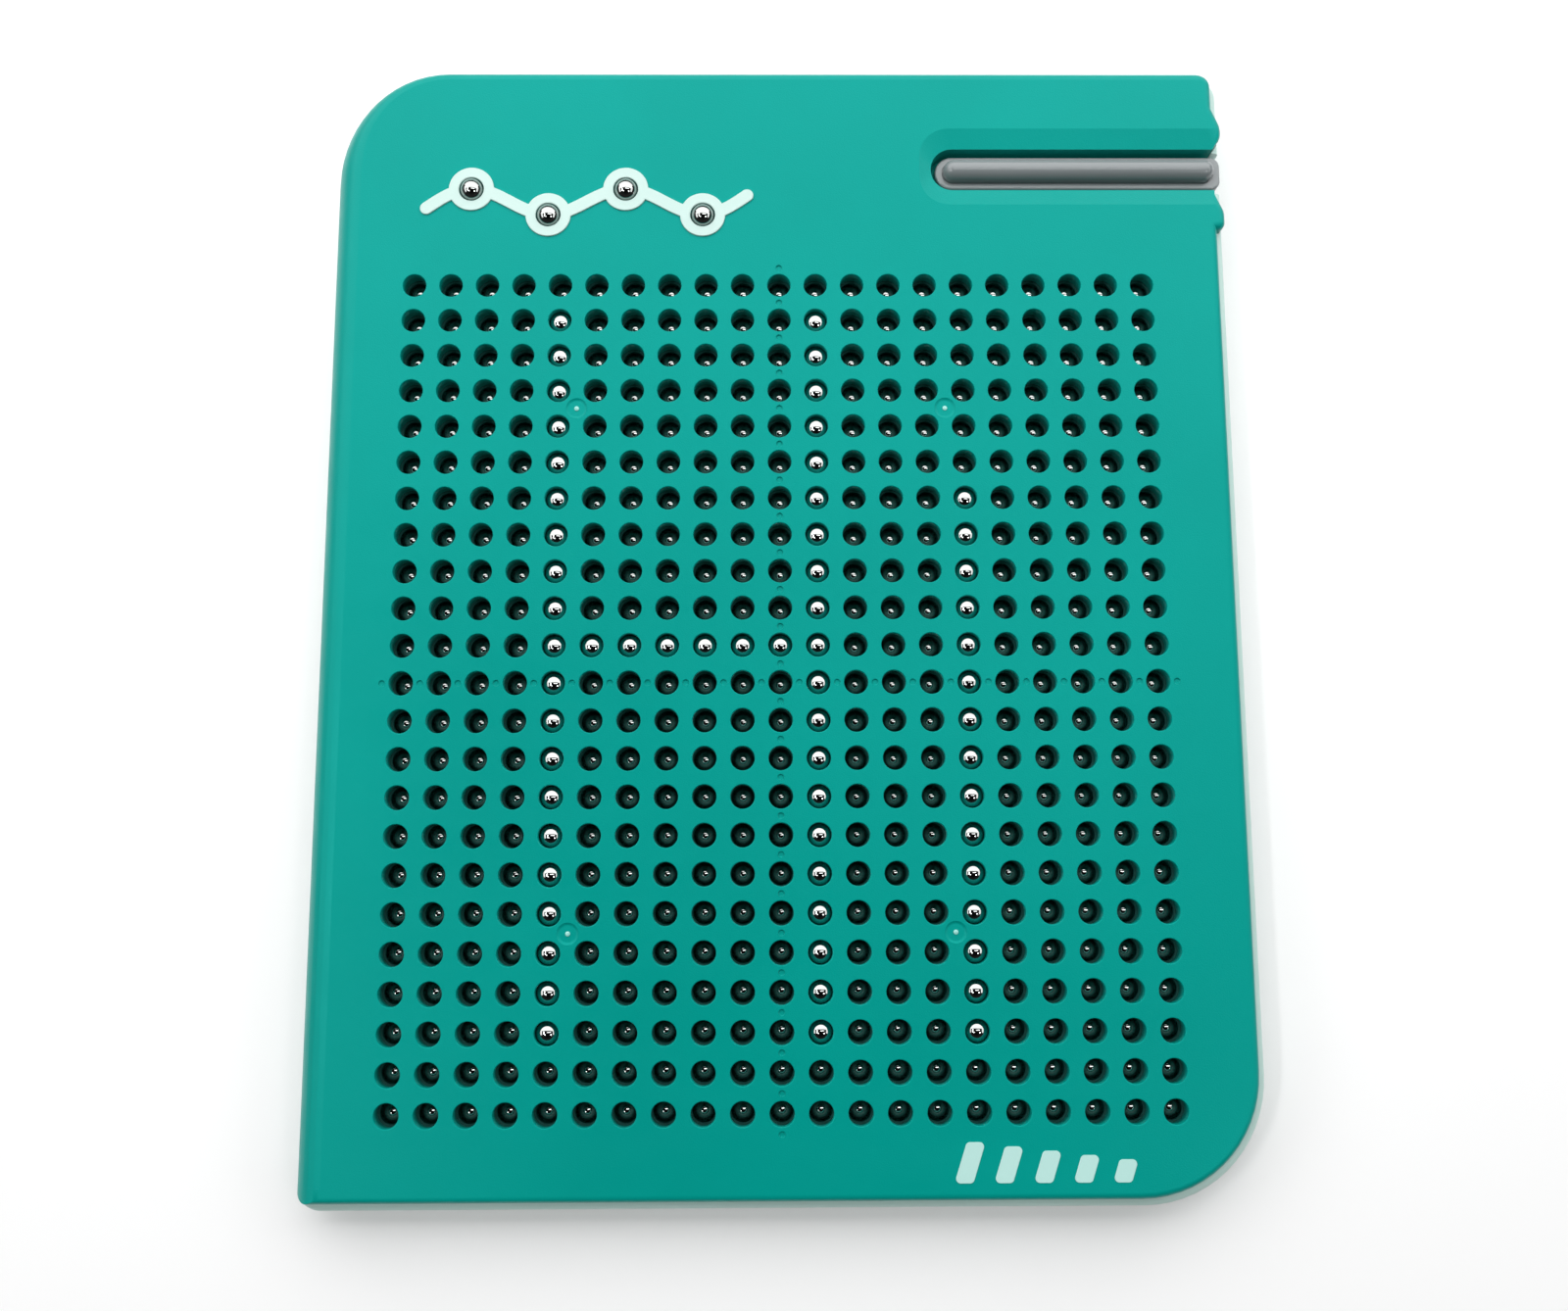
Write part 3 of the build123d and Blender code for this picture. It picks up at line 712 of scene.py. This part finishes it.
def make_screws():
    """Cross-head screws, each thread drawn as a row of grooves round the shank."""
    low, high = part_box("cover_screws")
    head_z, tip_z = low.z / MM, high.z / MM
    profile = [(2.2, head_z), (2.55, head_z + 0.15), (2.7, head_z + 0.5), (2.7, SEAT_Z), (SHANK_R, SEAT_Z)]
    z = SEAT_Z
    while z < tip_z - 1.6:
        profile += [(SHANK_R, z + 0.25), (ROOT_R, z + 0.5), (SHANK_R, z + 0.75)]
        z += THREAD_PITCH
    profile += [(ROOT_R, tip_z - 0.6), (0.3, tip_z)]
    screws = lathed("screws_fine", SCREW_PLACES, profile, 32)
    for across, up in ((1.7, 0.35), (0.35, 1.7)):
        slots = [box_outline(x - across, y - up, x + across, y + up, (0.1,) * 4) for x, y in SCREW_PLACES]
        cut(screws, prisms("slots", slots, head_z - 1, head_z + 0.7))
    return finished(screws, "case", "zinc_screw", ZINC, "cover_screws")


make_front_cover()
make_back_cover()
make_plate("guide_upper_fine", "guide_plate_upper", BORE_R, "guide_dark", GUIDE)
make_plate("guide_lower_fine", "guide_plate_lower", BORE_R, "guide_dark", GUIDE)
make_plate("retainer_fine", "retainer_sheet", GRIP_R, "retainer_rubber", RUBBER, 0.25)
make_all_balls()
make_badge()
make_corner_mark()
make_stylus()
make_screws()
give_material("stylus_magnet", NICKEL)
give_material("base_liner", FOAM)


# ---------------------------------------------------------------- floor, light, camera

def make_floor():
    size = 6000
    corners = [(-size, -size, 0), (size, -size, 0), (size, size, 0), (-size, size, 0)]
    floor = make_mesh("studio_floor", corners, [(0, 1, 2, 3)])
    made, tree, shader = new_material("studio_floor")
    shade_of = remap(tree, noise(tree, 3, 2.0), 0.93, 0.95)
    joined = tree.nodes.new("ShaderNodeCombineColor")
    for channel in ("Red", "Green", "Blue"):
        tree.links.new(shade_of, joined.inputs[channel])
    tree.links.new(joined.outputs["Color"], shader.inputs["Base Color"])
    shader.inputs["Roughness"].default_value = 0.7
    floor.data.materials.append(made)


def area_light(name, place, aim, width, height, power):
    """A soft white light turned towards a point, with its height as near to along Y as that allows."""
    lamp = bpy.data.lights.new(name, "AREA")
    lamp.shape = "RECTANGLE"
    lamp.size, lamp.size_y = width, height
    lamp.energy = power
    made = bpy.data.objects.new(name, lamp)
    back = (Vector(place) - Vector(aim)).normalized()
    up = back.cross(Vector((1, 0, 0))).normalized()
    turned = Matrix((up.cross(back), up, back)).transposed().to_4x4()
    made.matrix_world = Matrix.Translation(place) @ turned
    bpy.context.scene.collection.objects.link(made)


def make_world():
    """A nearly black room, least dark on the far side and at the horizon.

    Only the strength is set. The colour stays at Blender's default dark grey, so the area lights do
    nearly all the work.
    """
    world = bpy.data.worlds.new("studio")
    bpy.context.scene.world = world
    world.use_nodes = True
    tree = world.node_tree
    where = tree.nodes.new("ShaderNodeTexCoord")
    axes = tree.nodes.new("ShaderNodeSeparateXYZ")
    tree.links.new(where.outputs["Generated"], axes.inputs["Vector"])
    far = remap(tree, axes.outputs["Y"], low=0.08, high=0.80, from_low=0.08, from_high=0.26)
    around = remap(tree, axes.outputs["Z"], low=0.62, high=0.08, from_low=0.35, from_high=0.85)
    brightest = tree.nodes.new("ShaderNodeMath")
    brightest.operation = "MAXIMUM"
    tree.links.new(far, brightest.inputs[0])
    tree.links.new(around, brightest.inputs[1])
    tree.links.new(brightest.outputs["Value"], tree.nodes["Background"].inputs["Strength"])


# name, place, point it is turned towards, width and height, all in metres, then watts
LIGHTS = [
    ("top_panel", (0, 0.64, 0.60), (0, 0.14, 0), 2.2, 1.0, 16.5),
    ("left_panel", (-1.5, 0.1, 0.9), (0, 0, 0), 0.5, 1.4, 4.5),
    ("right_panel", (1.5, 0.1, 0.9), (0, 0, 0), 0.5, 1.4, 4.5),
    ("ceiling_strip", (0.38, 0.10, 1.5), (0.05, 0, 0), 0.95, 0.16, 2.2),
    ("left_window", (-0.80, -0.07, 1.2), (0, 0, 0), 0.10, 0.60, 3.6),
    ("low_left", (-0.55, -0.48, 1.3), (0, 0, 0), 0.20, 0.20, 0.8),
    ("low_right", (0.75, -0.50, 1.2), (0, 0, 0), 0.24, 0.20, 1.6),
]


def make_light():
    for light in LIGHTS:
        area_light(*light)


# The place is in hole pitches from the grid's middle on the face. Place, direction and lens were
# solved from the photo's hole grid.
CAMERA_PLACE = (-0.24, -4.4, 36.24)
CAMERA_FORWARD, CAMERA_UP = (0.0092, 0.1397, -0.9901), (0.003, 0.990, 0.140)
SENSOR_WIDTH, LENS = 36, 31.75


def make_camera():
    """The camera looks nearly straight down from a little below the middle of the board."""
    offset = Vector(CAMERA_PLACE) * PITCH
    forward, up = Vector(CAMERA_FORWARD).normalized(), Vector(CAMERA_UP)
    side = forward.cross(up).normalized()
    up = side.cross(forward)
    lens = bpy.data.cameras.new("camera")
    lens.sensor_width = SENSOR_WIDTH
    lens.lens = LENS
    camera = bpy.data.objects.new("camera", lens)
    place = Vector((GRID_X, GRID_Y, THICK)) + offset
    turned = Matrix((side, up, -forward)).transposed().to_4x4()
    camera.matrix_world = Matrix.Translation(place * MM) @ turned
    bpy.context.scene.collection.objects.link(camera)
    bpy.context.scene.camera = camera


make_floor()
make_world()
make_light()
make_camera()
bpy.context.scene.view_settings.view_transform = "Standard"
